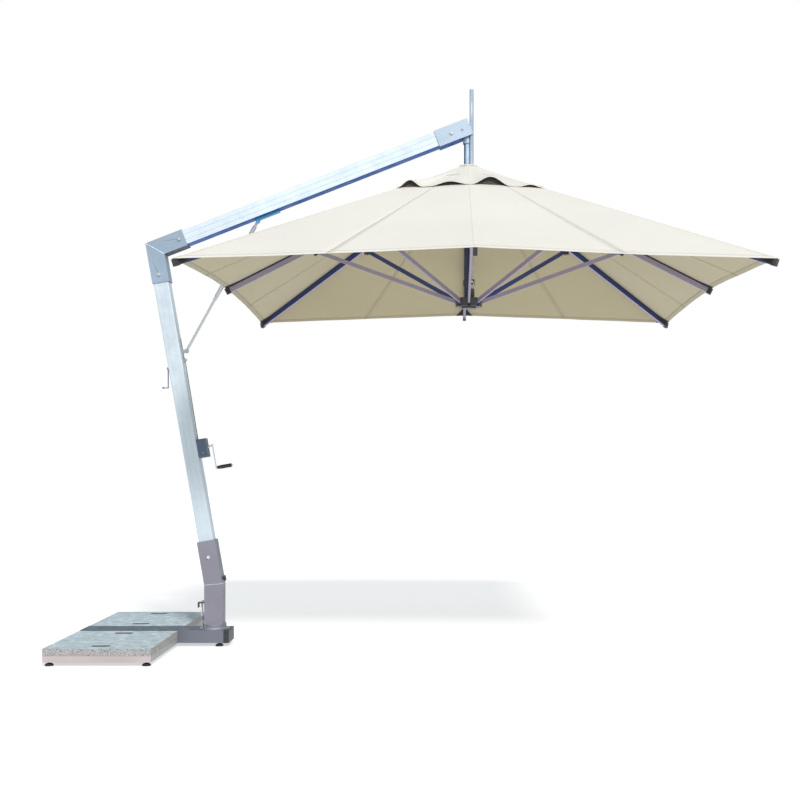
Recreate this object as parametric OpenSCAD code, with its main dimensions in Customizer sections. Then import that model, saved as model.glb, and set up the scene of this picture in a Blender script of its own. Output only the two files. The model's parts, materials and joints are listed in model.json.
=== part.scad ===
// Cantilever parasol: ballasted base, leaning mast, rising arm and a square folding canopy.
// Origin: middle of the whole object on the ground. +X runs from the base to the canopy, +Z up.

/* [Base] */
// Width of a ballast slab along X
slab_w = 600; // [500:10:640]
// Depth of a ballast slab along Y
slab_d = 690; // [500:10:700]
// Thickness of a ballast slab
slab_t = 40; // [30:1:50]
// Clear distance between the two slabs
slab_gap = 220; // [210:2:260]
// Left edge of the base
base_left = -1942; // [-1960:1:-1900]
// Height of the frame rails
rail_h = 36; // [30:1:40]
// Height of the levelling feet under the rails
foot_h = 22; // [18:1:30]

/* [Mast] */
// X of the swivel axis
swivel_x = -1135; // [-1150:1:-1120]
// Height of the kink in the foot bracket
kink_z = 375; // [360:1:390]
// Lean of the mast from upright, in degrees
lean = 9.9; // [9:0.1:10.5]
// Length of the mast's axis from kink to elbow
mast_len = 2090; // [2060:5:2110]
// In-plane size of the mast and arm tubes
tube_a = 92; // [88:1:94]
// Size of the mast and arm tubes across the plane
tube_b = 90; // [86:1:92]

/* [Arm] */
// Rise of the arm from level, in degrees
arm_rise = 21.3; // [20.8:0.1:21.6]

/* [Canopy] */
// X of the canopy's centre
canopy_x = 432; // [425:1:440]
// Distance from the centre to a mid-side rib tip
half_side = 1492; // [1470:1:1500]
// Height of the rib pivots
crown_z = 2900; // [2880:5:2910]
// Height of the mid-side rib tips
mid_tip_z = 2178; // [2160:2:2200]
// Height of the corner rib tips
corner_tip_z = 2124; // [2110:2:2140]
// Height of the strut pivots on the runner
runner_z = 2110; // [2106:2:2114]
// Distance from the centre to the strut pins on the ribs
joint_r = 930; // [920:2:940]
// Half side of the vent cap
cap_half = 430; // [410:5:450]

/* [Hidden] */
$fn = 48;

// Base
rail_w = 30;
rail_z = foot_h;
slab_z = rail_z + rail_h;
beam_w = 190;
beam_wall = 4;
beam_top = slab_z + slab_t + 2;
beam_right = swivel_x + 70;
end_cap_l = 32;
frame_gap = 0.3;
frame_y = slab_gap / 2;
slot_l = 105;
slot_w = 28;
slot_inset = 95;
slab_x = base_left + slab_w / 2;

// Swivel
disc_r = 92;
disc_t = 4;
disc_top = beam_top + disc_t;
pin_d = 40;
bush_d = 48;
flange_r = 71;
washer_z = disc_top + 0.3;
flange_z = washer_z + 6.2;
flange_t = 20;
bush_top = beam_top + 84;
column_a = 112;
column_b = 108;
index_r = 78;
index_step = 15;
plunger_d = 12;
hinge_dx = -62.5;
pedal_z = 262;

// Tubes and sleeves
fit = 0.1;
sleeve_a = tube_a + 12;
sleeve_b = tube_b + 12;
tube_t = 3;
bolt_d = 11.8;
hole_d = 12.2;
elbow_gap = 40;
elbow_x = swivel_x - mast_len * sin(lean);
elbow_z = kink_z + mast_len * cos(lean);
elbow_arm_leg = 195;
elbow_mast_leg = 210;
sleeve_top = 270;
foot_bolt_z = 169;

// Pole and rod, measured from the canopy's centre
pole_dx = -8;
pole_d = 42;
pole_bore = 36;
rod_dx = 17;
rod_dy = -25;
rod_d = 26;
rod_top = 3417;
pole_s = (canopy_x + pole_dx - elbow_x) / cos(arm_rise);
axis_z = elbow_z + pole_s * sin(arm_rise);
pulley_r = 31;
cord_d = 4;
cord_r = 28;
pulley_s = pole_s - (cord_r + 2) / cos(arm_rise);
pulley_x = elbow_x + pulley_s * cos(arm_rise);
pulley_z = elbow_z + pulley_s * sin(arm_rise);
pole_top = 3135;
pole_low = 2102;
lock_z = 2229;
clamp_back = 60;

// Ribs and struts
pivot_r = 68;
hinge_pin_d = 8;
pin_fit = 0.05;
rib_h = 34;
rib_w = 18;
rib_wall = 1.5;
tongue_w = 15;
tube_from = 28;
pin_drop = 38;
strut_w = 14;
strut_h = 24;
cloth_low = 23.5;
cloth_t = 2.5;
cap_low = 33.5;
vent_half = 190;
cap_in_r = 54;
cap_in_z = 2946;

// Winch, measured in the mast's frame
winch_z = 835;
face = tube_a / 2 + 0.2;
drum_x = 73;
drum_z = 807;
shaft_z = 840;
crank_x = 134;
crank_l = 137;
fairlead_z = 1400;
hook_z = 1355;

// Brace, in the part's frame
brace_low = [canopy_x - 1742, 1810];
brace_top = [canopy_x - 1301.5, 2612];
brace_v = brace_top - brace_low;
brace_l = norm(brace_v);
brace_tilt = atan2(brace_v[0], brace_v[1]);

function is_corner(k) = k % 2 == 1;
function azimuth(k) = 45 * k;
function tip_r(k) = is_corner(k) ? half_side * sqrt(2) : half_side;
function tip_z(k) = is_corner(k) ? corner_tip_z : mid_tip_z;
function slope(k) = atan2(crown_z - tip_z(k), tip_r(k) - pivot_r);
function rib_l(k) = norm([crown_z - tip_z(k), tip_r(k) - pivot_r]);
function joint_u(k) = (joint_r - pivot_r + pin_drop * sin(slope(k))) / cos(slope(k));
function joint_z(k) = crown_z - joint_u(k) * sin(slope(k)) - pin_drop * cos(slope(k));
function strut_l(k) = norm([joint_r - pivot_r, joint_z(k) - runner_z]);
// A point above rib k: u along the rib from its pivot, v square to it
function over_rib(k, u, v) =
    let (r = pivot_r + u * cos(slope(k)) + v * sin(slope(k)))
    [r * cos(azimuth(k)), r * sin(azimuth(k)), crown_z - u * sin(slope(k)) + v * cos(slope(k))];
function u_at(k, half) = ((is_corner(k) ? half * sqrt(2) : half) - pivot_r) / cos(slope(k));

function mast_point(p) = [swivel_x + p[0] * cos(lean) - p[2] * sin(lean), p[1],
    kink_z + p[0] * sin(lean) + p[2] * cos(lean)];
function arm_point(p) = [elbow_x + p[0] * cos(arm_rise) - p[2] * sin(arm_rise), p[1],
    elbow_z + p[0] * sin(arm_rise) + p[2] * cos(arm_rise)];
function pulley_point(a) = [pulley_x + cord_r * cos(a), 0, pulley_z + cord_r * sin(a)];

module mast_frame() translate([swivel_x, 0, kink_z]) rotate([0, -lean, 0]) children();
module arm_frame() translate([elbow_x, 0, elbow_z]) rotate([0, -arm_rise, 0]) children();
module canopy_frame() translate([canopy_x, 0, 0]) children();
module rib_frame(k) canopy_frame() rotate([0, 0, azimuth(k)]) translate([pivot_r, 0, crown_z])
    rotate([0, slope(k), 0]) children();
module along_y(r, l) rotate([90, 0, 0]) cylinder(r = r, h = l, center = true);
module along_x(r, l) rotate([0, 90, 0]) cylinder(r = r, h = l);

module rounded(a, b, r) {
    square([a - 2 * r, b], center = true);
    square([a, b - 2 * r], center = true);
    for (x = [-1, 1], y = [-1, 1]) translate([x * (a / 2 - r), y * (b / 2 - r)]) circle(r);
}

// Extruded aluminium profile with two shallow grooves on each broad face
module tube_profile() difference() {
    rounded(tube_a, tube_b, 7);
    rounded(tube_a - 2 * tube_t, tube_b - 2 * tube_t, 4);
    for (x = [-16, 16], y = [-1, 1]) translate([x, y * tube_b / 2]) square([4, 2.4], center = true);
}

// Box swept round the corner between arm and mast, seen from the side
module corner_block(h, width, arm_leg, mast_leg) {
    a = [cos(arm_rise), sin(arm_rise)];
    up = [-sin(arm_rise), cos(arm_rise)];
    m = [sin(lean), -cos(lean)];
    out = [-cos(lean), -sin(lean)];
    mid = (a + m) / norm(a + m);
    inner = mid * h / sqrt((1 - a * m) / 2);
    translate([elbow_x, 0, elbow_z]) rotate([90, 0, 0]) linear_extrude(width, center = true)
        polygon([-inner, a * arm_leg + up * h, a * arm_leg - up * h, inner,
            m * mast_leg - out * h, m * mast_leg + out * h]);
}

module bolt_y(l, d, head) {
    along_y(d / 2, l);
    for (s = [-1, 1]) translate([0, s * (l / 2), 0]) rotate([90, 30, 0])
        cylinder(d = head, h = 9, center = true, $fn = 6);
}

// ---- Base ----
module slab_rect(side, inset) translate([base_left + inset, side > 0 ? frame_y + inset :
    -frame_y - slab_d + inset, 0]) children();

module base_frame() color("rosybrown") for (side = [-1, 1]) difference() {
    slab_rect(side, 0) translate([0, 0, rail_z]) cube([slab_w, slab_d, rail_h - frame_gap]);
    for (y = [0, slab_d / 2 - rail_w / 2]) slab_rect(side, rail_w) translate([0, y, rail_z - 1])
        cube([slab_w - 2 * rail_w, slab_d / 2 - 1.5 * rail_w, rail_h + 2]);
}

module slab(side) color("lightsteelblue") difference() {
    slab_rect(side, 0) translate([0, 0, slab_z]) cube([slab_w, slab_d, slab_t]);
    for (e = [slot_inset, slab_d - slot_inset])
        translate([slab_x, side * (frame_y + e), slab_z - 1]) linear_extrude(slab_t + 2)
            rounded(slot_l, slot_w, slot_w / 2 - 1);
}
module slab_front() slab(-1);
module slab_rear() slab(1);

module base_beam() color("slategray") difference() {
    translate([base_left, -beam_w / 2, rail_z])
        cube([beam_right - base_left, beam_w, beam_top - rail_z]);
    translate([base_left + 8, -beam_w / 2 + beam_wall, rail_z + beam_wall])
        cube([beam_right - base_left, beam_w - 2 * beam_wall, beam_top - rail_z - 2 * beam_wall]);
}

module beam_end_cap() color("dimgray") {
    translate([beam_right + 0.1, -beam_w / 2 - 2, rail_z - 1])
        cube([end_cap_l, beam_w + 4, beam_top - rail_z + 1]);
    translate([beam_right - 14, -beam_w / 2 + beam_wall + 0.3, rail_z + beam_wall + 0.3])
        cube([14.1, beam_w - 2 * beam_wall - 0.6, beam_top - rail_z - 2 * beam_wall - 0.6]);
}

module foot(x, y) translate([x, y, 0]) {
    cylinder(r = 24, h = 8);
    translate([0, 0, 8]) cylinder(r = 19, h = 5);
    cylinder(r = 8, h = rail_z - 0.1);
}
module levelling_feet() color("black") {
    for (s = [-1, 1]) {
        foot(base_left + rail_w, s * (frame_y + slab_d - rail_w));
        foot(base_left + slab_w - rail_w, s * (frame_y + slab_d - rail_w));
        foot(base_left + rail_w, s * (beam_w / 2 - rail_w));
        foot(beam_right - rail_w, s * (beam_w / 2 - rail_w));
    }
}

// ---- Swivel and foot ----
module swivel_base() color("gray") translate([swivel_x, 0, beam_top + 0.1]) difference() {
    union() {
        cylinder(r = disc_r, h = disc_t);
        cylinder(d = pin_d, h = bush_top - beam_top);
    }
    for (a = [0 : index_step : 359]) rotate([0, 0, a]) translate([index_r, 0, -1])
        cylinder(d = plunger_d + 1, h = disc_t + 2);
}

module swivel_bearing() color("whitesmoke") translate([swivel_x, 0, 0]) difference() {
    union() {
        translate([0, 0, washer_z + 0.1]) cylinder(r = flange_r - 5, h = flange_z - washer_z - 0.1);
        translate([0, 0, washer_z + 0.1]) cylinder(d = bush_d, h = bush_top - washer_z - 0.1);
    }
    translate([0, 0, beam_top]) cylinder(d = pin_d + 2 * pin_fit, h = 200);
}

// Kinked box section: upright column below, sleeve for the mast above
module foot_outline() {
    h = column_a / 2;
    k = h * tan(lean / 2);
    top = [-sin(lean), cos(lean)] * sleeve_top;
    side = [cos(lean), sin(lean)] * h;
    translate([swivel_x, 0, kink_z]) rotate([90, 0, 0]) linear_extrude(column_b, center = true)
        polygon([[-h, flange_z - kink_z + 1], [h, flange_z - kink_z + 1], [h, k], top + side,
            top - side, [-h, -k]]);
}

module foot_bracket() color("slategray") difference() {
    union() {
        foot_outline();
        translate([swivel_x, 0, flange_z + 0.1]) cylinder(r = flange_r, h = flange_t);
        translate([swivel_x + hinge_dx - 28, -13, 150]) cube([40, 26, 24]);
        for (s = [-1, 1]) translate([swivel_x + hinge_dx - 7, s * 27 - 3, pedal_z - 8])
            cube([16, 6, 16]);
    }
    mast_frame() translate([0, 0, 6]) linear_extrude(sleeve_top)
        square([tube_a + 2 * fit, tube_b + 2 * fit], center = true);
    translate([swivel_x - 46, -44, bush_top + 0.2]) cube([92, 88, kink_z - bush_top - 26]);
    translate([swivel_x, 0, flange_z - 1]) cylinder(d = bush_d + 2 * pin_fit, h = 120);
    translate([swivel_x - index_r, 0, disc_top]) cylinder(d = plunger_d + 2 * pin_fit, h = 150);
    translate([swivel_x + hinge_dx, 0, pedal_z]) along_y(3 + pin_fit, 80);
    mast_frame() translate([0, 0, foot_bolt_z]) along_y(hole_d / 2, 140);
    mast_frame() translate([40, 0, 24]) along_x(5 + pin_fit, 30);
}

module lock_plunger() color("gainsboro") translate([swivel_x - index_r, 0, 0]) {
    translate([0, 0, beam_top + 1]) cylinder(d = plunger_d, h = pedal_z + 2 - beam_top);
    translate([0, 0, pedal_z + 2.9]) cylinder(r = 9, h = 7);
}

module foot_pedal() color("dimgray") translate([swivel_x + hinge_dx, 0, pedal_z]) difference() {
    union() {
        along_y(6, 47);
        along_y(3, 61);
        translate([-40, -20, -7]) cube([38, 40, 6]);
        translate([-40, -20, -34]) cube([5, 40, 28]);
    }
    translate([-26, -7.5, -8]) cube([21, 15, 8]);
}

module clamp_knob() color("black") mast_frame() translate([47, 0, 24]) {
    along_x(5, 12);
    translate([11, 0, 0]) along_x(9, 4);
    translate([14, 0, 0]) along_x(15, 11);
    for (a = [0 : 60 : 359]) translate([14, 0, 0]) rotate([a, 0, 0]) translate([0, 14, 0])
        along_x(4, 11);
}

// ---- Mast and arm ----
module mast_tube() color("gainsboro") mast_frame() difference() {
    translate([0, 0, 7]) linear_extrude(mast_len - elbow_gap - 7) tube_profile();
    translate([0, 0, foot_bolt_z]) along_y(hole_d / 2, 140);
    translate([0, 0, mast_len - 160]) along_y(hole_d / 2, 140);
    translate([30, -6, fairlead_z]) cube([30, 12, 60]);
}

module elbow_bracket() color("lightsteelblue") difference() {
    corner_block(sleeve_a / 2, sleeve_b, elbow_arm_leg, elbow_mast_leg);
    corner_block(tube_a / 2 + fit, tube_b + 2 * fit, elbow_arm_leg + 1, elbow_mast_leg + 1);
    arm_frame() translate([162, 0, 0]) along_y(hole_d / 2, 140);
    mast_frame() translate([0, 0, mast_len - 160]) along_y(hole_d / 2, 140);
}

module arm_tube() color("gainsboro") arm_frame() difference() {
    translate([elbow_gap, 0, 0]) rotate([90, 0, 90])
        linear_extrude(pole_s - clamp_back - 12 - elbow_gap) rotate(90) tube_profile();
    translate([162, 0, 0]) along_y(hole_d / 2, 140);
    translate([pole_s - 105, 0, 0]) along_y(hole_d / 2, 140);
}

module arm_end_bracket() color("lightsteelblue") arm_frame() difference() {
    translate([pole_s - 203, -sleeve_b / 2, -sleeve_a / 2])
        cube([203 - clamp_back, sleeve_b, sleeve_a]);
    translate([pole_s - 204, -tube_b / 2 - fit, -tube_a / 2 - fit])
        cube([205, tube_b + 2 * fit, tube_a + 2 * fit]);
    translate([pole_s - 105, 0, 0]) along_y(hole_d / 2, 140);
}

module pole_clamp() color("lightsteelblue") difference() {
    union() {
        arm_frame() translate([pole_s - clamp_back + 0.1, -48, -sleeve_a / 2])
            cube([clamp_back + 16, 96, sleeve_a]);
        canopy_frame() translate([pole_dx, 0, pole_top - 48]) cylinder(r = 28, h = 60);
    }
    translate([canopy_x + pole_dx, 0, pole_top - 60]) cylinder(d = pole_d + 2 * pin_fit, h = 60.2);
    translate([canopy_x + pole_dx, 0, pole_top - 1]) cylinder(d = 24, h = 60);
    translate([canopy_x + rod_dx, rod_dy, pole_top - 90]) cylinder(d = rod_d + 3, h = 300);
    arm_frame() translate([pole_s - clamp_back - 1, -8.5, -37])
        cube([clamp_back + 8, 17, 37 + sleeve_a]);
    translate([pulley_x, 0, pulley_z]) along_y(4 + pin_fit, 140);
}

module end_pulley() color("dimgray") translate([pulley_x, 0, pulley_z]) rotate([90, 0, 0])
    rotate_extrude($fn = 64) polygon([[4 + pin_fit, -7], [pulley_r, -7], [pulley_r, -4.5],
        [cord_r - 2.4, -2.7], [cord_r - 2.4, 2.7], [pulley_r, 4.5], [pulley_r, 7], [4 + pin_fit, 7]]);

module through_bolts() color("silver") {
    arm_frame() translate([162, 0, 0]) bolt_y(sleeve_b + 9.4, bolt_d, 22);
    arm_frame() translate([pole_s - 105, 0, 0]) bolt_y(sleeve_b + 9.4, bolt_d, 22);
    mast_frame() translate([0, 0, mast_len - 160]) bolt_y(sleeve_b + 9.4, bolt_d, 22);
    mast_frame() translate([0, 0, foot_bolt_z]) bolt_y(column_b + 9.4, bolt_d, 22);
    translate([pulley_x, 0, pulley_z]) bolt_y(96 + 9.4, 8, 15);
}

// ---- Pole, rod and guides ----
module pole() color("lightgray") canopy_frame() translate([pole_dx, 0, pole_low]) difference() {
    cylinder(d = pole_d, h = pole_top - pole_low);
    translate([0, 0, -1]) cylinder(d = pole_bore, h = pole_top - pole_low + 2);
}

module guide(z, h) difference() {
    union() {
        translate([pole_dx, 0, z]) cylinder(r = 27, h = h);
        translate([rod_dx, rod_dy, z]) cylinder(r = 19, h = h);
    }
    translate([pole_dx, 0, z - 1]) cylinder(d = pole_d + 2 * pin_fit, h = h + 2);
    translate([rod_dx, rod_dy, z - 1]) cylinder(d = rod_d + 4 * pin_fit, h = h + 2);
}

module rod_guides() color("dimgray") canopy_frame() {
    guide(2640, 30);
    difference() {
        union() {
            guide(lock_z - 18, 36);
            translate([rod_dx, rod_dy - 30, lock_z]) along_y(10, 24);
        }
        translate([rod_dx, rod_dy - 30, lock_z]) along_y(4 + pin_fit, 40);
        translate([rod_dx, rod_dy, lock_z - 30]) cylinder(d = rod_d + 4 * pin_fit, h = 60);
    }
}

module slide_rod() color("silver") canopy_frame() translate([rod_dx, rod_dy, 0]) difference() {
    union() {
        translate([0, 0, 2090]) cylinder(d = rod_d, h = rod_top - 2090 - 4);
        translate([0, 0, rod_top - 4]) cylinder(d = rod_d - 4, h = 4);
    }
    translate([0, 0, 2080]) cylinder(d = rod_d - 7, h = rod_top - 2100);
    translate([-5, -rod_d / 2 - 1, 2080]) cube([10, 3.2, rod_top - 2120]);
}

module lock_pin() color("silver") canopy_frame() translate([rod_dx, rod_dy - 11.6, lock_z]) {
    translate([0, -24, 0]) along_y(4, 48);
    translate([0, -36, 0]) along_y(8, 7);
    translate([0, -46.5, -12]) rotate([90, 0, 0]) rotate_extrude() translate([12, 0]) circle(1.8);
}

module crown() color("gray") canopy_frame() difference() {
    union() {
        translate([0, 0, crown_z - 22]) cylinder(r = 84, h = 44);
        translate([0, 0, crown_z + 20]) cylinder(r = 50, h = 16);
    }
    translate([pole_dx, 0, crown_z - 60]) cylinder(d = pole_d + 2 * pin_fit, h = 120);
    translate([rod_dx, rod_dy, crown_z - 60]) cylinder(d = rod_d + 1, h = 120);
    for (k = [0 : 7]) rotate([0, 0, azimuth(k)]) {
        translate([50, -tongue_w / 2 - 0.4, crown_z - 30]) cube([60, tongue_w + 0.8, 60]);
        translate([pivot_r, 0, crown_z]) along_y(hinge_pin_d / 2 + pin_fit, 38);
    }
}

module runner() color("dimgray") canopy_frame() difference() {
    union() {
        translate([0, 0, runner_z - 28]) cylinder(r = 82, h = 52);
        translate([0, 0, runner_z - 38]) cylinder(r = 44, h = 12);
        translate([rod_dx, rod_dy, runner_z + 20]) cylinder(r = 17.5, h = 60);
    }
    translate([pole_dx, 0, pole_low - 3]) cylinder(d = pole_d + 2, h = 100);
    translate([rod_dx, rod_dy, 2090 - 0.2]) cylinder(d = rod_d + 2 * pin_fit, h = 120);
    for (k = [0 : 7]) rotate([0, 0, azimuth(k)])
        translate([48, -strut_w / 2 - 0.8, runner_z - 50]) cube([60, strut_w + 1.6, 100]);
}

// ---- Ribs and struts ----
module rib(k) color("thistle") rib_frame(k) difference() {
    union() {
        along_y(13, tongue_w);
        translate([0, -tongue_w / 2, -13]) cube([tube_from + 2, tongue_w, 26]);
        translate([tube_from, -rib_w / 2, -rib_h / 2]) cube([rib_l(k) - tube_from, rib_w, rib_h]);
    }
    along_y(hinge_pin_d / 2 + pin_fit, 60);
    translate([tube_from + 10, -rib_w / 2 + rib_wall, -rib_h / 2 + rib_wall])
        cube([rib_l(k), rib_w - 2 * rib_wall, rib_h - 2 * rib_wall]);
}

module rib_fittings(k) color("black") rib_frame(k) {
    along_y(hinge_pin_d / 2, 36);
    difference() {
        translate([rib_l(k) - 22, -rib_w / 2 - 2, -rib_h / 2 - 2])
            cube([30, rib_w + 4, rib_h + 4]);
        translate([rib_l(k) - 23, -rib_w / 2 - fit, -rib_h / 2 - fit])
            cube([23.2, rib_w + 2 * fit, rib_h + 2 * fit]);
    }
    difference() {
        translate([joint_u(k) - 30, -12.5, -pin_drop - 12])
            cube([60, 25, 12 + pin_drop - rib_h / 2 - fit]);
        translate([joint_u(k) - 31, -strut_w / 2 - 1, -pin_drop - 13])
            cube([62, strut_w + 2, 26.5]);
        translate([joint_u(k), 0, -pin_drop]) along_y(hinge_pin_d / 2 + pin_fit, 40);
    }
    translate([joint_u(k), 0, -pin_drop]) along_y(hinge_pin_d / 2, 31);
}

module strut(k) color("thistle") canopy_frame() rotate([0, 0, azimuth(k)])
    translate([joint_r, 0, joint_z(k)])
    rotate([0, 180 - atan2(joint_z(k) - runner_z, joint_r - pivot_r), 0]) difference() {
        union() {
            along_y(strut_h / 2, strut_w);
            translate([strut_l(k), 0, 0]) along_y(strut_h / 2, strut_w);
            translate([0, -strut_w / 2, -strut_h / 2]) cube([strut_l(k), strut_w, strut_h]);
        }
        along_y(hinge_pin_d / 2 + pin_fit, 40);
        translate([strut_l(k), 0, 0]) along_y(hinge_pin_d / 2 + pin_fit, 40);
    }

// ---- Cloth ----
// Closed skin between an inner and an outer ring of eight points each, one pair over each rib
module skin(in_low, in_top, out_low, out_top) {
    n = 8;
    polyhedron(points = concat(in_low, out_low, in_top, out_top), faces = [
        for (i = [0 : n - 1]) let (j = (i + 1) % n) each [
            [i, n + i, n + j], [i, n + j, j],
            [2 * n + i, 3 * n + j, 3 * n + i], [2 * n + i, 2 * n + j, 3 * n + j],
            [i, j, 2 * n + j], [i, 2 * n + j, 2 * n + i],
            [n + i, 3 * n + j, n + j], [n + i, 3 * n + i, 3 * n + j]]]);
}

module canopy() color("linen") canopy_frame() skin(
    [for (k = [0 : 7]) over_rib(k, u_at(k, vent_half), cloth_low)],
    [for (k = [0 : 7]) over_rib(k, u_at(k, vent_half), cloth_low + cloth_t)],
    [for (k = [0 : 7]) over_rib(k, rib_l(k) - 2, cloth_low)],
    [for (k = [0 : 7]) over_rib(k, rib_l(k) - 2, cloth_low + cloth_t)]);

module vent_cap() color("linen") canopy_frame() skin(
    [for (k = [0 : 7]) [cap_in_r * cos(azimuth(k)), cap_in_r * sin(azimuth(k)), cap_in_z - cloth_t]],
    [for (k = [0 : 7]) [cap_in_r * cos(azimuth(k)), cap_in_r * sin(azimuth(k)), cap_in_z]],
    [for (k = [0 : 7]) over_rib(k, u_at(k, cap_half), cap_low)],
    [for (k = [0 : 7]) over_rib(k, u_at(k, cap_half), cap_low + cloth_t)]);

// ---- Brace and brackets ----
module brace() color("lightgray") translate([brace_low[0], 0, brace_low[1]])
    rotate([0, brace_tilt, 0]) difference() {
        union() {
            for (z = [0, brace_l]) translate([0, 0, z]) along_y(12, 12);
            for (z = [11, brace_l - 11]) translate([0, 0, z]) cube([10, 12, 22], center = true);
            translate([0, 0, 14]) cylinder(d = 16, h = brace_l - 28);
            translate([0, 0, brace_l * 0.42]) cylinder(d = 25, h = brace_l * 0.54);
            translate([0, 0, brace_l * 0.42 - 24]) cylinder(d = 21, h = 26);
        }
        for (z = [0, brace_l]) translate([0, 0, z]) along_y(5 + pin_fit, 40);
    }

module fork(p) difference() {
    union() {
        for (s = [-1, 1]) translate([p[0], s * 9.5, p[1]]) along_y(13, 6);
        children();
    }
    translate([p[0], 0, p[1]]) along_y(5 + pin_fit, 60);
    translate([p[0], 0, p[1]]) along_y(13.2, 13);
}

module fitting_brackets() color("silver") {
    fork(brace_low) mast_frame() {
        difference() {
            translate([face, -20, 1380]) cube([5, 40, 150]);
            translate([face - 1, -6, fairlead_z - 3]) cube([7, 12, 66]);
        }
        for (s = [-1, 1]) translate([face, s * 9.5 - 3, 1434]) cube([28, 6, 19]);
        difference() {
            translate([face, -12, 1384]) cube([20, 24, 12]);
            translate([face + 11.8, 0, 1380]) cylinder(d = cord_d + 1, h = 30);
        }
    }
    fork(brace_top) arm_frame() {
        translate([636, -14, -tube_a / 2 - 14.2]) cube([160, 28, 14]);
        for (s = [-1, 1]) translate([637, s * 9.5 - 3, -tube_a / 2 - 15]) cube([19, 6, 12]);
    }
    for (p = [brace_low, brace_top]) translate([p[0], 0, p[1]]) along_y(5, 34);
    mast_frame() difference() {
        translate([-face - 16, -9, hook_z - 8]) cube([16, 18, 16]);
        translate([-face - 17, -3.3, hook_z - 9]) cube([14, 6.6, 18]);
    }
    mast_frame() translate([-face - 9.5, 0, hook_z]) along_y(2.5, 17);
}

// Flat hook that hangs plumb from its eye
module rear_hook() color("gray") mast_frame() translate([-face - 9.5, 0, hook_z])
    rotate([90, lean, 0]) linear_extrude(6, center = true) difference() {
        union() {
            circle(6);
            translate([-3, -121]) square([6, 121]);
            translate([-28, -121]) square([28, 6]);
            translate([-31, -118]) circle(6);
        }
        circle(2.5 + pin_fit);
    }

// ---- Winch ----
module winch_housing() color("slategray") mast_frame() difference() {
    translate([face, 0, winch_z]) rotate([90, 0, 90]) linear_extrude(55) rounded(88, 116, 10);
    translate([face - 1, 0, winch_z]) rotate([90, 0, 90]) linear_extrude(52) rounded(80, 108, 6);
    translate([drum_x - 18, -23, winch_z + 40]) cylinder(d = 8, h = 30);
    translate([drum_x, 0, drum_z]) along_y(4 + pin_fit, 100);
    translate([90, 0, shaft_z]) along_x(6 + pin_fit, 20);
}

module winch_drum() color("silver") mast_frame() translate([drum_x, 0, drum_z]) {
    along_y(4, 87);
    translate([0, -23, 0]) along_y(15.6, 24);
    for (y = [-36, -10.5]) translate([0, y, 0]) along_y(21.5, 2);
    along_y(23.5, 14);
}

module crank() color("silver") mast_frame() {
    translate([56, 0, shaft_z]) along_x(6, crank_x - 56);
    translate([60, 0, shaft_z]) along_x(9, 34);
    translate([102, 0, shaft_z]) along_x(10, 8);
    translate([crank_x - 6, 0, shaft_z]) along_x(11, 7);
    translate([crank_x - 5, 0, shaft_z - crank_l]) along_x(9, 6);
    translate([crank_x - 5, -7, shaft_z - crank_l]) cube([5, 14, crank_l]);
    translate([crank_x, 0, shaft_z - crank_l]) along_x(4, 98);
    translate([crank_x + 96, 0, shaft_z - crank_l]) along_x(7, 4);
}

module crank_grip() color("black") mast_frame() translate([crank_x + 4, 0, shaft_z - crank_l])
    rotate([0, 90, 0]) difference() {
        rotate_extrude() polygon([[4.06, 0], [9, 0], [10, 6], [12, 30], [11.5, 60], [12, 84],
            [10, 90], [4.06, 90]]);
        translate([0, 0, -1]) cylinder(r = 4 + pin_fit, h = 92);
    }

// ---- Cords ----
// Eight-sided tube swept along a route that never runs along Y
module cord_tube(route) {
    n = len(route);
    sides = 8;
    function heading(i) = let (v = route[min(i + 1, n - 1)] - route[max(i - 1, 0)]) v / norm(v);
    function across(t) = let (v = [0, 1, 0] - t[1] * t) v / norm(v);
    points = [for (i = [0 : n - 1], j = [0 : sides - 1]) let (t = heading(i), w = across(t))
        route[i] + cord_d / 2 * (w * cos(j * 360 / sides) + cross(t, w) * sin(j * 360 / sides))];
    walls = [for (i = [0 : n - 2], j = [0 : sides - 1]) let (k = (j + 1) % sides)
        [i * sides + j, (i + 1) * sides + j, (i + 1) * sides + k, i * sides + k]];
    ends = [[for (j = [0 : sides - 1]) j], [for (j = [sides - 1 : -1 : 0]) (n - 1) * sides + j]];
    polyhedron(points = points, faces = concat(walls, ends));
}

module hoist_cord() color("dimgray") cord_tube(concat(
    [for (p = [[55, -23, 807], [55, -23, 870], [55, -23, 900], [57, -2, 1365], [58, 0, 1385],
        [58, 0, 1397], [32, 0, 1436], [14, 0, 1500], [14, 0, 1975], [6, 0, 2030]])
        mast_point(p)],
    [for (p = [[75, 0, 0], [240, 0, cord_r], [700, 0, cord_r], [1400, 0, cord_r]]) arm_point(p)],
    [for (a = [90 + arm_rise : -10 : 0.1]) pulley_point(a)],
    [[pulley_x + cord_r, 0, pulley_z]]));

module cord_drop() color("dimgray")
    translate([pulley_x + cord_r, 0, pole_low])
    cylinder(d = cord_d, h = pulley_z - pole_low - 0.2, $fn = 16);

base_frame();
slab_front();
slab_rear();
base_beam();
beam_end_cap();
levelling_feet();
swivel_base();
swivel_bearing();
foot_bracket();
through_bolts();
foot_pedal();
lock_plunger();
clamp_knob();
mast_tube();
elbow_bracket();
arm_tube();
arm_end_bracket();
pole_clamp();
end_pulley();
pole();
rod_guides();
crown();
runner();
slide_rod();
lock_pin();
canopy();
vent_cap();
brace();
fitting_brackets();
winch_housing();
winch_drum();
crank();
crank_grip();
hoist_cord();
cord_drop();
rear_hook();
for (k = [0 : 7]) {
    rib(k);
    rib_fittings(k);
    strut(k);
}
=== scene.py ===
"""Cantilever parasol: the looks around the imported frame, in metres, +X from base to canopy."""
import json
import math

import bpy
import numpy as np
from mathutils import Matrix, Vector, noise


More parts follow.
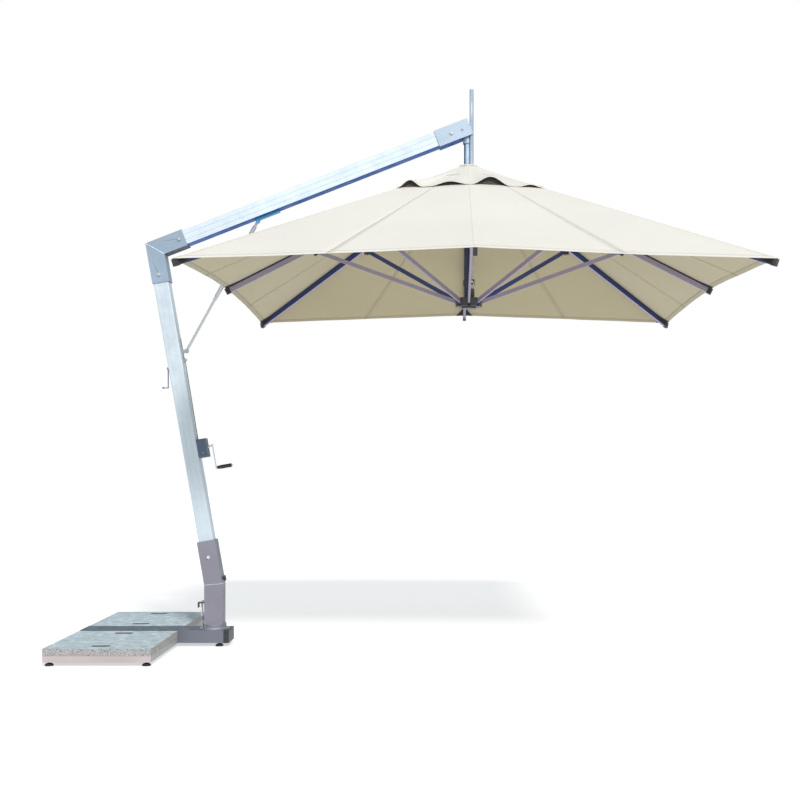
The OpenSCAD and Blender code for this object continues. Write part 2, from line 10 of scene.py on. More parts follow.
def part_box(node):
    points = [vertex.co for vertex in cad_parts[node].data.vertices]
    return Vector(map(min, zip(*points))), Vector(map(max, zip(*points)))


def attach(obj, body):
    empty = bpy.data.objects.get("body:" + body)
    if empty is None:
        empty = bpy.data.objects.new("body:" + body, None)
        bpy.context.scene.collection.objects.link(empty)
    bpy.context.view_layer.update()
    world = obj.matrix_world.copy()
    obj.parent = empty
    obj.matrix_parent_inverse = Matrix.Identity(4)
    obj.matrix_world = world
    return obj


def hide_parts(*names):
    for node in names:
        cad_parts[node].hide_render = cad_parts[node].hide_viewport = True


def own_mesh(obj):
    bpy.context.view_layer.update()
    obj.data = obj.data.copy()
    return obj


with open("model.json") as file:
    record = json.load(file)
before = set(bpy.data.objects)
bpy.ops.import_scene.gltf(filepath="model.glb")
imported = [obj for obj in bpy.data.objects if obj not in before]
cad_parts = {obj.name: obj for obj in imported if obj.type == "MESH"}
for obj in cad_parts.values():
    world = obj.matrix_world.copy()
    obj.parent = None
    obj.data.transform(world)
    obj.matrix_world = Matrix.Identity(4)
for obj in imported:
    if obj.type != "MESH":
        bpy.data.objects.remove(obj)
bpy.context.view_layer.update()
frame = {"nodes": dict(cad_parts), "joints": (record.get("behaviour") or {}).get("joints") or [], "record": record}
nodes = frame["nodes"]
joints = {j["name"]: j for j in frame["joints"]}
scene = bpy.context.scene

RIBS = 8
# Angle from one rib to the next
TURN = math.tau / RIBS
MM = 0.001
UP = Vector((0, 0, 1))

# ---- Places worked out from the frame ----
pivots = [Vector(joints[f"rib_{k + 1}_hinge"]["pos_m"]) for k in range(RIBS)]
pins = [Vector(joints[f"strut_{k + 1}_hinge"]["pos_m"]) for k in range(RIBS)]
hub = (pivots[0] + pivots[4]) / 2
pivot_r = (pivots[0] - hub).length
crown_z = hub.z
swivel = Vector(joints["mast_swivel"]["pos_m"])
cloth_low, cloth_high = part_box("canopy")


def out_of(k):
    """Level direction in which rib k points."""
    return Vector((math.cos(k * TURN), math.sin(k * TURN), 0))


def along(k):
    """Level direction square to rib k."""
    return Vector((-math.sin(k * TURN), math.cos(k * TURN), 0))


# ---- Camera and stage ----
# The eye: beside the pole, in front of it and above the ground
EYE_SIDE = -0.165
EYE_BACK = 7.6
EYE_HEIGHT = 1.172
# Focal length and sensor width in mm, and the sideways and upward shift
LENS = 55.4
SENSOR = 36.0
SHIFT = (-0.0525, 0.068)

SUN_FROM = Vector((0.42, -1.16, 1.0))
SUN_POWER = 2.85
SUN_WARMTH = (1.0, 0.975, 0.93)
# Width of the sun's disc, which softens the shadows
SUN_WIDTH = math.radians(9)
SKY_TINT = (0.88, 0.95, 1.0, 1)
SKY_LIGHT = 0.62
WHITE = (1, 1, 1, 1)

FLOOR_HALF = 30.0
FLOOR_GREY = (0.5, 0.5, 0.5)
FLOOR_GLOW = 0.55


def make_camera():
    data = bpy.data.cameras.new("camera")
    data.lens = LENS
    data.sensor_width = SENSOR
    data.shift_x, data.shift_y = SHIFT
    camera = bpy.data.objects.new("camera", data)
    camera.location = (hub.x + EYE_SIDE, -EYE_BACK, EYE_HEIGHT)
    camera.rotation_euler = (math.pi / 2, 0, 0)
    scene.collection.objects.link(camera)
    scene.camera = camera


def make_light():
    """White backdrop that lights the object more gently than it looks, and one soft sun."""
    world = bpy.data.worlds.new("studio")
    world.use_nodes = True
    tree = world.node_tree
    glow = tree.nodes["Background"]
    glow.inputs["Color"].default_value = SKY_TINT
    glow.inputs["Strength"].default_value = SKY_LIGHT
    backdrop = tree.nodes.new("ShaderNodeBackground")
    backdrop.inputs["Color"].default_value = WHITE
    seen = tree.nodes.new("ShaderNodeLightPath")
    either = tree.nodes.new("ShaderNodeMixShader")
    tree.links.new(seen.outputs["Is Camera Ray"], either.inputs[0])
    tree.links.new(glow.outputs[0], either.inputs[1])
    tree.links.new(backdrop.outputs[0], either.inputs[2])
    tree.links.new(either.outputs[0], tree.nodes["World Output"].inputs["Surface"])
    scene.world = world
    sun = bpy.data.lights.new("sun", "SUN")
    sun.energy = SUN_POWER
    sun.color = SUN_WARMTH
    sun.angle = SUN_WIDTH
    lamp = bpy.data.objects.new("sun", sun)
    lamp.rotation_mode = "QUATERNION"
    lamp.rotation_quaternion = SUN_FROM.to_track_quat("Z", "Y")
    scene.collection.objects.link(lamp)
    scene.view_settings.view_transform = "Standard"


def make_floor():
    """Pale floor that glows a little, so that its far part fades into the backdrop."""
    half = FLOOR_HALF
    corners = [(-half, -half, 0), (half, -half, 0), (half, half, 0), (-half, half, 0)]
    mesh = bpy.data.meshes.new("floor")
    mesh.from_pydata(corners, [], [(0, 1, 2, 3)])
    n = Nodes("pale_floor", FLOOR_GREY, 0.9)
    mesh.materials.append(n.finish(Emission_Color=WHITE, Emission_Strength=FLOOR_GLOW))
    floor = bpy.data.objects.new("floor", mesh)
    scene.collection.objects.link(floor)


# ---- Node materials ----
class Nodes:
    """Short calls that build one material's node tree."""

    def __init__(self, name, colour, rough, metallic=0.0):
        self.material = bpy.data.materials.new(name)
        self.material.use_nodes = True
        self.tree = self.material.node_tree
        self.shader = self.tree.nodes["Principled BSDF"]
        self.shader.inputs["Base Color"].default_value = (*colour, 1)
        self.shader.inputs["Roughness"].default_value = rough
        self.shader.inputs["Metallic"].default_value = metallic
        place = self.tree.nodes.new("ShaderNodeTexCoord")
        self.where, self.normal = place.outputs["Object"], place.outputs["Normal"]

    def add(self, kind, **sockets):
        node = self.tree.nodes.new("ShaderNode" + kind)
        for key, value in sockets.items():
            self.put(node, key, value)
        return node

    def put(self, node, key, value):
        """Sets or links a socket by its name, or by its number as i0, i1 and so on."""
        numbered = key[0] == "i" and key[1:].isdigit()
        socket = node.inputs[int(key[1:])] if numbered else node.inputs[key]
        if isinstance(value, bpy.types.NodeSocket):
            self.tree.links.new(value, socket)
        else:
            socket.default_value = value

    def scaled(self, by, vector=None):
        node = self.add("Mapping", Vector=vector or self.where, Scale=by)
        return node.outputs["Vector"]

    def noise(self, scale, detail=3.0, vector=None, rough=0.5):
        node = self.add("TexNoise", Vector=vector or self.where, Scale=scale, Detail=detail,
                        Roughness=rough)
        return node.outputs["Fac"]

    def maths(self, operation, a, b=0.0):
        node = self.add("Math", i0=a, i1=b)
        node.operation = operation
        return node.outputs[0]

    def ramp(self, fac, stops):
        node = self.add("ValToRGB", Fac=fac)
        points = node.color_ramp.elements
        while len(points) < len(stops):
            points.new(0.5)
        for point, (at, colour) in zip(points, stops):
            point.position = at
            point.color = (*colour, 1)
        return node.outputs["Color"]

    def grey(self, fac, low, high, start=0.35, end=0.65):
        node = self.add("MapRange", Value=fac)
        limits = (("From Min", start), ("From Max", end), ("To Min", low), ("To Max", high))
        for key, value in limits:
            node.inputs[key].default_value = value
        return node.outputs["Result"]

    def facing(self, axis, start, end):
        """0 where the surface's own normal along an axis is below start, 1 where it is past end."""
        apart = self.add("SeparateXYZ", Vector=self.normal)
        return self.grey(apart.outputs[axis], 0, 1, start, end)

    def mix(self, fac, a, b):
        node = self.tree.nodes.new("ShaderNodeMix")
        node.data_type = "RGBA"
        for socket, value in ((node.inputs[0], fac), (node.inputs[6], a), (node.inputs[7], b)):
            if isinstance(value, bpy.types.NodeSocket):
                self.tree.links.new(value, socket)
            else:
                socket.default_value = (*value, 1) if isinstance(value, tuple) else value
        return node.outputs[2]

    def bump(self, height, depth, strength=1.0, under=None):
        node = self.add("Bump", Height=height, Distance=depth, Strength=strength)
        if under:
            self.tree.links.new(under, node.inputs["Normal"])
        return node.outputs["Normal"]

    def finish(self, colour=None, rough=None, normal=None, **sockets):
        for key, value in (("Base Color", colour), ("Roughness", rough), ("Normal", normal)):
            if value is not None:
                self.put(self.shader, key, value)
        for key, value in sockets.items():
            self.put(self.shader, key.replace("_", " "), value)
        return self.material


# Painted shade: the navy is the ribs' shaded sides reflecting blue, on the same metal as the lilac
RIB_SHADE_NAVY = (0.042, 0.068, 0.23)
LILAC = (0.36, 0.32, 0.42)
DUST = (0.30, 0.29, 0.28)


def shade(colour, by):
    return tuple(min(1.0, c * by) for c in colour)


def grain_metal(name, colour, rough, stretch, depth=0.00006, metallic=0.9, below=None,
                gloss=0.5, grain=0.3):
    """Anodised or brushed metal whose grain runs along the axis that stretch makes long.

    Faces that look down take the colour given as below: painted shade and sky reflection on the undersides of the
    arm, elbow and clamps. On the navy ribs below is their lit lilac.
    """
    n = Nodes(name, colour, rough, metallic)
    fine = n.noise(900, 3, n.scaled(stretch))
    broad = n.noise(2.2, 4)
    colour_out = n.mix(n.grey(broad, 0, 1), shade(colour, 0.93), shade(colour, 1.05))
    colour_out = n.mix(n.grey(fine, 0, grain), colour_out, shade(colour, 0.8))
    # Painted shade and reflection: downward faces take the colour below
    if below:
        colour_out = n.mix(n.facing("Z", -0.62, -0.5), below, colour_out)
    rough_out = n.grey(n.noise(14, 4), rough - 0.05, rough + 0.09)
    return n.finish(colour_out, rough_out, n.bump(fine, depth), Specular_IOR_Level=gloss)


def tone_by_height(name, low_colour, high_colour, start, end, rough, metallic, edge=None):
    """Brushed metal that changes tone between two heights, with a darker edge towards -X. On the pole the dark low
    tone paints the shade under the canopy and the dark edge paints shade on its -X side.
    """
    n = Nodes(name, high_colour, rough, metallic)
    height = n.add("SeparateXYZ", Vector=n.where).outputs["Z"]
    fine = n.noise(700, 3, n.scaled((1, 1, 0.03)))
    high = n.mix(n.grey(fine, 0, 0.3), high_colour, shade(high_colour, 0.75))
    # Painted shade: faces towards -X take the darker edge colour
    if edge:
        high = n.mix(n.facing("X", -0.75, -0.45), edge, high)
    low = n.mix(n.grey(fine, 0, 0.3), low_colour, shade(low_colour, 0.8))
    colour_out = n.mix(n.grey(height, 0, 1, start, end), low, high)
    rough_out = n.grey(n.noise(14, 4), rough - 0.05, rough + 0.09)
    return n.finish(colour_out, rough_out, n.bump(fine, 0.00005))


def painted(name, colour, rough, peel=0.00012, metallic=0.0, wear=0.06, above=None, beside=None):
    """Powder coat: orange peel, faint tone drift and small scuffs.

    Faces that look up take the colour above, and faces that look along X the colour beside; both paint light and
    shade rather than the coat's own colour.
    """
    n = Nodes(name, colour, rough, metallic)
    drift = n.mix(n.grey(n.noise(3.1, 3), 0, 1), shade(colour, 0.94), shade(colour, 1.06))
    # Painted light and shade: faces that look up or along X take other colours
    if above:
        drift = n.mix(n.facing("Z", 0.6, 0.8), drift, above)
    if beside:
        drift = n.mix(n.facing("X", 0.6, 0.8), drift, beside)
    scuff = n.grey(n.noise(38, 6, rough=0.75), 0, wear * 4, 0.6, 0.8)
    colour_out = n.mix(scuff, drift, shade(colour, 1.35))
    rough_out = n.grey(n.noise(21, 4), rough - 0.06, rough + 0.1)
    return n.finish(colour_out, rough_out, n.bump(n.noise(420, 2), peel))


def moulded(name, colour, rough):
    """Moulded plastic or rubber with a spark-eroded texture."""
    n = Nodes(name, colour, rough)
    grain = n.noise(1100, 2)
    dust = n.grey(n.noise(9, 5), 0, 0.18, 0.5, 0.75)
    rough_out = n.grey(n.noise(60, 3), rough - 0.08, rough + 0.08)
    return n.finish(n.mix(dust, colour, DUST), rough_out, n.bump(grain, 0.00012))


def granite(name):
    """Ballast slab: mottled blue-grey top, coarser speckled sides."""
    n = Nodes(name, (0.5, 0.56, 0.6), 0.75)
    cloud = n.ramp(n.noise(19, 6, rough=0.68), [
        (0.32, (0.27, 0.36, 0.41)), (0.46, (0.39, 0.50, 0.55)),
        (0.57, (0.50, 0.60, 0.66)), (0.68, (0.72, 0.80, 0.84))])
    fleck = n.add("TexVoronoi", Vector=n.where, Scale=260.0)
    speck = n.ramp(fleck.outputs["Color"], [
        (0.15, (0.13, 0.13, 0.14)), (0.34, (0.25, 0.245, 0.25)),
        (0.7, (0.34, 0.33, 0.335)), (0.92, (0.50, 0.48, 0.47))])
    colour = n.mix(n.maths("MULTIPLY", n.facing("Z", 0.6, 0.9), 0.85), speck, cloud)
    pits = n.noise(230, 5, rough=0.7)
    return n.finish(colour, n.grey(cloud, 0.55, 0.85), n.bump(pits, 0.0007, 0.8))


def cloth(name, colour, thread=1500.0, sheen=0.25):
    """Woven canopy cloth: crossed threads, slubs and a faint weathering."""
    n = Nodes(name, colour, 0.88)
    warp = n.add("TexWave", Vector=n.where, Scale=thread, Distortion=0.6)
    weft = n.add("TexWave", Vector=n.where, Scale=thread, Distortion=0.6)
    warp.bands_direction, weft.bands_direction = "X", "Y"
    weave = n.maths("MULTIPLY", warp.outputs["Fac"], weft.outputs["Fac"])
    slub = n.noise(260, 4, n.scaled((1, 6, 1)))
    drift = n.mix(n.grey(n.noise(1.4, 4), 0, 1), shade(colour, 0.965), shade(colour, 1.02))
    colour_out = n.mix(n.grey(slub, 0, 0.16), drift, shade(colour, 0.84))
    soft = n.bump(n.noise(5.0, 3), 0.004, 0.35)
    mesh = n.bump(n.maths("ADD", weave, slub), 0.00025, 0.8, under=soft)
    n.shader.inputs["Sheen Weight"].default_value = sheen
    n.shader.inputs["Sheen Roughness"].default_value = 0.45
    return n.finish(colour_out, n.grey(slub, 0.82, 0.95), mesh)


def braid(name, colour):
    """Braided cord with crossed strands, darker where the strands dip and lighter on their crests: painted shade
    and highlight.
    """
    n = Nodes(name, colour, 0.7)
    a = n.add("TexWave", Vector=n.where, Scale=260.0)
    b = n.add("TexWave", Vector=n.scaled((1, -1, -1)), Scale=260.0)
    a.bands_direction = b.bands_direction = "DIAGONAL"
    cross = n.maths("MAXIMUM", a.outputs["Fac"], b.outputs["Fac"])
    # Painted shade and highlight: colour follows the strands' height
    colour_out = n.mix(cross, shade(colour, 0.6), shade(colour, 1.5))
    return n.finish(colour_out, normal=n.bump(cross, 0.0006))



MATERIALS = {
    "mast": grain_metal("anodised_mast", (0.61, 0.695, 0.765), 0.42, (1, 1, 0.02), metallic=0.55),
    # The below colours of the arm, elbow and clamps are painted shade and sky reflection on their undersides
    "arm": grain_metal("anodised_arm", (0.68, 0.77, 0.86), 0.40, (0.03, 1, 0.3), metallic=0.35,
                       below=(0.006, 0.10, 0.42), gloss=0.08, grain=0.12),
    "cast": grain_metal("anodised_bracket", (0.29, 0.37, 0.46), 0.5, (0.05, 1, 1), metallic=0.4,
                        below=(0.03, 0.045, 0.08), gloss=0.2),
    "clamp": grain_metal("anodised_clamp", (0.43, 0.52, 0.63), 0.46, (0.05, 1, 1), metallic=0.4,
                         below=(0.006, 0.08, 0.32), gloss=0.08),
    # Painted shade: the pole's dark tone below the hub and its dark -X edge
    "pole": tone_by_height("anodised_pole", (0.05, 0.06, 0.12), (0.50, 0.64, 0.80),
                     hub.z - 0.02, hub.z + 0.02, 0.35, 0.45, edge=(0.02, 0.07, 0.20)),
    "rod": grain_metal("polished_rod", (0.66, 0.75, 0.85), 0.24, (1, 1, 0.03), metallic=0.85),
    "lilac": grain_metal("anodised_lilac", LILAC, 0.45, (0.2, 0.2, 1), metallic=0.4),
    # Painted shade: navy copy of the lilac rib metal, with the lilac kept on the undersides
    "navy": grain_metal("rib_painted_shade_navy", RIB_SHADE_NAVY, 0.45, (0.2, 0.2, 1), metallic=0.4, below=LILAC),
    "steel": grain_metal("bolt_steel", (0.80, 0.81, 0.83), 0.28, (1, 1, 1), metallic=1.0),
    "plate": tone_by_height("bracket_plate", (0.36, 0.40, 0.44), (0.12, 0.42, 0.75),
                      pins[0].z - 0.1, pins[0].z, 0.38, 0.5),
    "brace": grain_metal("brace_tube", (0.46, 0.49, 0.52), 0.36, (1, 1, 0.1), metallic=0.55),
    "hook": grain_metal("hook_steel", (0.20, 0.22, 0.25), 0.5, (1, 1, 0.1), metallic=0.7),
    "bead": grain_metal("weld_bead", (0.62, 0.70, 0.78), 0.4, (1, 1, 1), metallic=0.6),
    "zinc": grain_metal("zinc_plate", (0.38, 0.43, 0.52), 0.45, (1, 1, 1), metallic=0.7),
    # Painted light: the foot's bluish top is painted sky reflection; the dark +X sides of the foot, the beam's
    # dark top and the rail's grey +X ends are painted shade
    "foot": painted("grey_foot", (0.21, 0.205, 0.25), 0.42, metallic=0.2, above=(0.26, 0.30, 0.45),
                    beside=(0.14, 0.15, 0.19)),
    "beam": painted("grey_beam", (0.135, 0.145, 0.185), 0.4, metallic=0.2,
                    above=(0.045, 0.075, 0.10)),
    "rail": painted("rose_rail", (0.42, 0.375, 0.37), 0.45, metallic=0.1,
                    beside=(0.30, 0.32, 0.33)),
    "winch": painted("slate_winch", (0.085, 0.115, 0.18), 0.4),
    "black": moulded("black_plastic", (0.022, 0.022, 0.026), 0.5),
    "rubber": moulded("black_rubber", (0.016, 0.016, 0.017), 0.75),
    "hub": moulded("hub_nylon", (0.045, 0.045, 0.055), 0.42),
    "nylon": moulded("white_nylon", (0.75, 0.75, 0.72), 0.4),
    "stone": granite("granite_slab"),
    "top": cloth("canopy_cloth", (0.69, 0.665, 0.61)),
    # Painted shade: the underside cloth is darker than the top to paint the shade under the canopy, and the hem's
    # underside is darker again
    "under": cloth("canopy_underside", (0.42, 0.37, 0.235)),
    "fold": cloth("hem_underside", (0.36, 0.315, 0.205)),
    # Painted shade: near-black for the vent cap's underside and the gap under its hem
    "vent": cloth("vent_painted_shade", (0.062, 0.056, 0.056), sheen=0.1),
    "thread": cloth("hem_thread", (0.62, 0.59, 0.53)),
    # Partly painted shade: the tape's near-black navy also stands in for the shade between rib and cloth
    "tape": cloth("navy_tape_gap_shade", (0.020, 0.020, 0.060), thread=700.0, sheen=0.1),
    "webbing": cloth("black_webbing", (0.020, 0.019, 0.019), thread=700.0, sheen=0.1),
    "cord": braid("braided_cord", (0.08, 0.085, 0.10)),
}

# Which CAD nodes wear which material
NODE_LOOKS = {
    "rail": ["base_frame"],
    "stone": ["slab_front", "slab_rear"],
    "beam": ["base_beam"],
    "black": ["beam_end_cap", "foot_pedal", "clamp_knob", "crank_grip", "end_pulley"]
             + [f"rib_fittings_{k + 1}" for k in range(RIBS)],
    "rubber": ["levelling_feet"],
    "zinc": ["swivel_base", "winch_drum"],
    "nylon": ["swivel_bearing"],
    "foot": ["foot_bracket"],
    "steel": ["through_bolts", "lock_plunger", "lock_pin", "crank"],
    "plate": ["fitting_brackets"],
    "hook": ["rear_hook"],
    "mast": ["mast_tube"],
    "arm": ["arm_tube"],
    "cast": ["elbow_bracket"],
    "clamp": ["arm_end_bracket", "pole_clamp"],
    "pole": ["pole"],
    "rod": ["slide_rod"],
    "hub": ["rod_guides", "crown", "runner"],
    "brace": ["brace"],
    "winch": ["winch_housing"],
    "cord": ["hoist_cord", "cord_drop"],
    "lilac": [f"rib_{k}" for k in (1, 3, 5, 7)] + [f"strut_{k}" for k in (1, 3, 5, 6, 7, 8)],
    # Painted shade: these ribs and struts wear the navy shaded copy of the rib metal
    "navy": [f"rib_{k}" for k in (2, 4, 6, 8)] + [f"strut_{k}" for k in (2, 4)],
}

# Width of the rounding along a node's sharp edges
ROUNDED = {
    1.6 * MM: ["base_beam", "foot_bracket", "base_frame"],
    6.0 * MM: ["beam_end_cap"],
    1.2 * MM: ["elbow_bracket", "arm_end_bracket", "pole_clamp", "winch_housing"],
    0.8 * MM: ["foot_pedal", "brace", "fitting_brackets", "rear_hook", "crown", "runner",
               "rod_guides"]
              + [f"{part}_{k + 1}" for part in ("rib", "strut", "rib_fittings")
                 for k in range(RIBS)],
}
SAME_POINT = 0.01 * MM
SHARP = math.radians(50)


def dress_nodes():
    for look, names in NODE_LOOKS.items():
        for name in names:
            slots = nodes[name].data.materials
            slots.clear()
            slots.append(MATERIALS[look])


def round_edges():
    """Small rounding on the sharp edges, so that they catch the light."""
    for width, names in ROUNDED.items():
        for name in names:
            merge = nodes[name].modifiers.new("merge", "WELD")
            merge.merge_threshold = SAME_POINT
            bevel = nodes[name].modifiers.new("rounding", "BEVEL")
            bevel.width = width
            bevel.segments = 2
            bevel.limit_method = "ANGLE"
            bevel.angle_limit = SHARP
            nodes[name].modifiers.new("shading", "WEIGHTED_NORMAL").keep_sharp = True


# ---- Mesh helpers ----
def make_object(name, points, faces, looks, smooth=True, rim=0):
    """faces holds (corner indices, index into looks); as many of the last ones as rim stay flat."""
    mesh = bpy.data.meshes.new(name)
    mesh.from_pydata([tuple(p) for p in points], [], [f for f, _ in faces])
    for look in looks:
        mesh.materials.append(MATERIALS[look])
    for polygon, (_, look) in zip(mesh.polygons, faces):
        polygon.material_index = look
        polygon.use_smooth = smooth and polygon.index < len(faces) - rim
    obj = bpy.data.objects.new(name, mesh)
    scene.collection.objects.link(obj)
    return obj


def sheet_object(name, rows, thickness, looks):
    """Closed thin sheet from rows of (point, normal): top, underside and an edge all round."""
    wide, deep = len(rows[0]), len(rows)
    upper = [p for row in rows for p, _ in row]
    lower = [p - n * thickness for row in rows for p, n in row]
    size = len(upper)
    faces = []
    for j in range(deep - 1):
        for i in range(wide - 1):
            a, d = j * wide + i, (j + 1) * wide + i
            b, c = a + 1, d + 1
            faces.append(((a, b, c, d), 0))
            faces.append(((size + d, size + c, size + b, size + a), 1))
    ring = list(range(wide)) + [j * wide + wide - 1 for j in range(1, deep)]
    ring += [(deep - 1) * wide + i for i in range(wide - 2, -1, -1)]
    ring += [j * wide for j in range(deep - 2, 0, -1)]
    for a, b in zip(ring, ring[1:] + ring[:1]):
        faces.append(((b, a, size + a, size + b), 0))
    return make_object(name, upper + lower, faces, looks, rim=len(ring))


def tube_object(name, path, radius, look, sides=10, closed=False):
    """Round tube swept along a list of points; radius is a length or a function from 0 to 1."""
    points, faces = [], []
    count = len(path)
    side = None
    for i, p in enumerate(path):
        ahead = path[(i + 1) % count] if closed or i + 1 < count else p
        behind = path[i - 1] if closed or i else p
        heading = (ahead - behind).normalized()
        if side is None:
            side = heading.cross(UP if abs(heading.z) < 0.9 else Vector((1, 0, 0))).normalized()
        side = (side - heading * side.dot(heading)).normalized()
        other = heading.cross(side)
        r = radius(i / max(1, count - 1)) if callable(radius) else radius
        for j in range(sides):
            a = math.tau * j / sides
            points.append(p + r * (side * math.cos(a) + other * math.sin(a)))
    for i in range(count if closed else count - 1):
        for j in range(sides):
            here, there = i * sides, (i + 1) % count * sides
            k = (j + 1) % sides
            faces.append(((here + j, here + k, there + k, there + j), 0))
    if not closed:
        faces.append((tuple(range(sides - 1, -1, -1)), 0))
        faces.append((tuple((count - 1) * sides + j for j in range(sides)), 0))
    return make_object(name, points, faces, [look])


# ---- The canopy's shape ----
# Drop of a strut's pin below the rib's axis
PIN_DROP = 38 * MM
CLOTH = 1.2 * MM
# Height of the canopy and of the vent cap's hem over a rib's axis
LIFT = 24.3 * MM
CAP_LIFT = 27.5 * MM
# Half sides of the canopy, of its vent hole and of the vent cap
HALF = (cloth_high.x - cloth_low.x) / 2
VENT_HALF = 0.190
CAP_HALF = 0.430
# Between two ribs: how far the rim curves in, how far the cloth sags, and its ripples
SCALLOP = 0.017
SAG = 0.010
RIPPLE = 0.0035
# Radius and height of the vent cap's neck over the rib pivots, and the hollow of its slope
CAP_NECK = 0.054
CAP_NECK_Z = 46 * MM
CAP_DIP = 0.006


def is_corner(k):
    return k % 2 == 1


def slope(k):
    """Slope of rib k's axis, from its pivot and the strut pin that hangs below it."""
    level = pins[k] - hub
    run, drop = math.hypot(level.x, level.y) - pivot_r, crown_z - pins[k].z
    return math.atan2(drop, run) - math.asin(PIN_DROP / math.hypot(run, drop))


SLOPES = [slope(k) for k in range(RIBS)]


def over_rib(k, reach, lift):
    """Point over rib k at a level distance from the hub, lifted square to the rib."""
    z = crown_z - (reach - pivot_r) * math.tan(SLOPES[k]) + lift / math.cos(SLOPES[k])
    return hub + out_of(k) * reach + UP * (z - crown_z)


def square_reach(k, half):
    return half * math.sqrt(2) if is_corner(k) else half


def canopy_line(k, q):
    """Cloth over rib k: q is 0 at the vent hole and 1 at the rib's tip."""
    k = k % RIBS
    return over_rib(k, square_reach(k, VENT_HALF + (HALF - VENT_HALF) * q), LIFT)


def canopy_point(k, q, w):
    """Cloth near rib k: w is 0 on the rib, and 0.5 and -0.5 half way to its neighbours."""
    t = abs(w)
    bow = 4 * t * (1 - t)
    q_in = q - SCALLOP / (HALF - VENT_HALF) * bow * q ** 4
    a, b = canopy_line(k, q_in), canopy_line(k + (1 if w > 0 else -1), q_in)
    point = a.lerp(b, t)
    wave = noise.noise(point * 2.6) + 0.45 * noise.noise(point * 7.3)
    return point + UP * (math.sin(math.pi * t) * (RIPPLE * wave - SAG * q))


# Height in mm of the vent cap's hem over the canopy, for each mid-side rib and its neighbour at a
# corner: one wave near the mid-side rib and one near the corner
HEM_WAVES = {(6, 5): (23, 43), (6, 7): (50, 16), (0, 7): (40, 22), (0, 1): (24, 38),
             (2, 1): (46, 18), (2, 3): (26, 40), (4, 3): (20, 44), (4, 5): (44, 20)}


def swell(t, middle, half):
    """Smooth wave that is 1 at its middle and 0 from half its width on."""
    return math.cos(math.pi / 2 * min(1.0, abs(t - middle) / half)) ** 2


def hem_wave(k, w):
    """How far the vent cap's hem stands off the canopy between rib k and its neighbour."""
    other = (k + (1 if w > 0 else -1)) % RIBS
    mid, corner = (other, k % RIBS) if is_corner(k) else (k % RIBS, other)
    t = 1 - abs(w) if is_corner(k) else abs(w)
    near, far = HEM_WAVES[mid, corner]
    return MM * (near * swell(t, 0.28, 0.28) + far * swell(t, 0.82, 0.18))


def cap_line(k, q):
    """Vent cap over rib k: q is 0 at its neck and 1 at its hem."""
    k = k % RIBS
    top = hub + out_of(k) * CAP_NECK + UP * CAP_NECK_Z
    low = over_rib(k, square_reach(k, CAP_HALF), CAP_LIFT)
    return top.lerp(low, q) - UP * (CAP_DIP * math.sin(math.pi * q))


def cap_point(k, q, w):
    """Vent cap near rib k, with q as in cap_line and w as in canopy_point."""
    t = abs(w)
    point = cap_line(k, q).lerp(cap_line(k + (1 if w > 0 else -1), q), t)
    sag = SAG * 0.7 * math.sin(math.pi * t) * math.sin(math.pi * q)
    return point + UP * (hem_wave(k, w) * max(q, 0.0) ** 2.2 - sag)


def normal_at(surface, k, q, w):
    e = 0.01
    across = surface(k, q, w + e) - surface(k, q, w - e)
    down = surface(k, q + e, w) - surface(k, q - e, w)
    normal = down.cross(across).normalized()
    return normal if normal.z > 0 else -normal


def rows_of(surface, k, steps_q, steps_w, low_w=-0.5, high_w=0.5, raised=0.0):
    """Rows of (point, normal) over a patch of one of the surfaces above."""
    rows = []
    for q in steps_q:
        row = []
        for i in range(steps_w + 1):
            w = low_w + (high_w - low_w) * i / steps_w
            normal = normal_at(surface, k, q, w)
            row.append((surface(k, q, w) + normal * raised, normal))
        rows.append(row)
    return rows


def span(start, end, count):
    return [start + (end - start) * i / count for i in range(count + 1)]


# Depth of the canopy's hem, and how much thicker the folded cloth of each hem is
HEM = 0.032
HEM_FOLD = 1.2 * MM
CAP_FOLD = 1.0 * MM
# Where the vent cap's hem starts, as a share of its slope
CAP_HEM_FROM = 0.955
# Length and half width of a stitch, and its distance from the hem's inner edge
STITCH = 3.2 * MM
STITCH_HALF = 0.5 * MM
STITCH_IN = 4 * MM
# Length and half width of the tip pockets, over mid-side ribs and over corner ribs
POCKET_LONG = {False: 0.115, True: 0.150}
POCKET_HALF = {False: 0.062, True: 0.080}
# The tip sleeve on a corner rib: length, half width and lowest point from the rib's axis
SLEEVE_LONG = 0.150
SLEEVE_HALF = 11.4 * MM
SLEEVE_LOW = -18.4 * MM
# The tape folded over a rib: width, depth and top from the rib's axis, and its free ends
TAPE_WIDE = 19.4 * MM
TAPE_DEEP = 8.5 * MM
TAPE_TOP = LIFT - CLOTH - 2.4 * MM
TAPE_FROM = 0.03
TAPE_TO = 0.026


def ride_rib(obj, k, squash=True):
    """The piece moves with rib k; with squash it also gets its own copy of its mesh."""
    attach(obj, f"rib_{k + 1}")
    if squash:
        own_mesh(obj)


def add_sheet(name, k, rows, looks, stands_for):
    """Cloth panel of rib k, which hides the CAD node it stands for."""
    piece = sheet_object(f"{name}_{k + 1}", rows, CLOTH, looks)
    ride_rib(piece, k)
    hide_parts(stands_for)


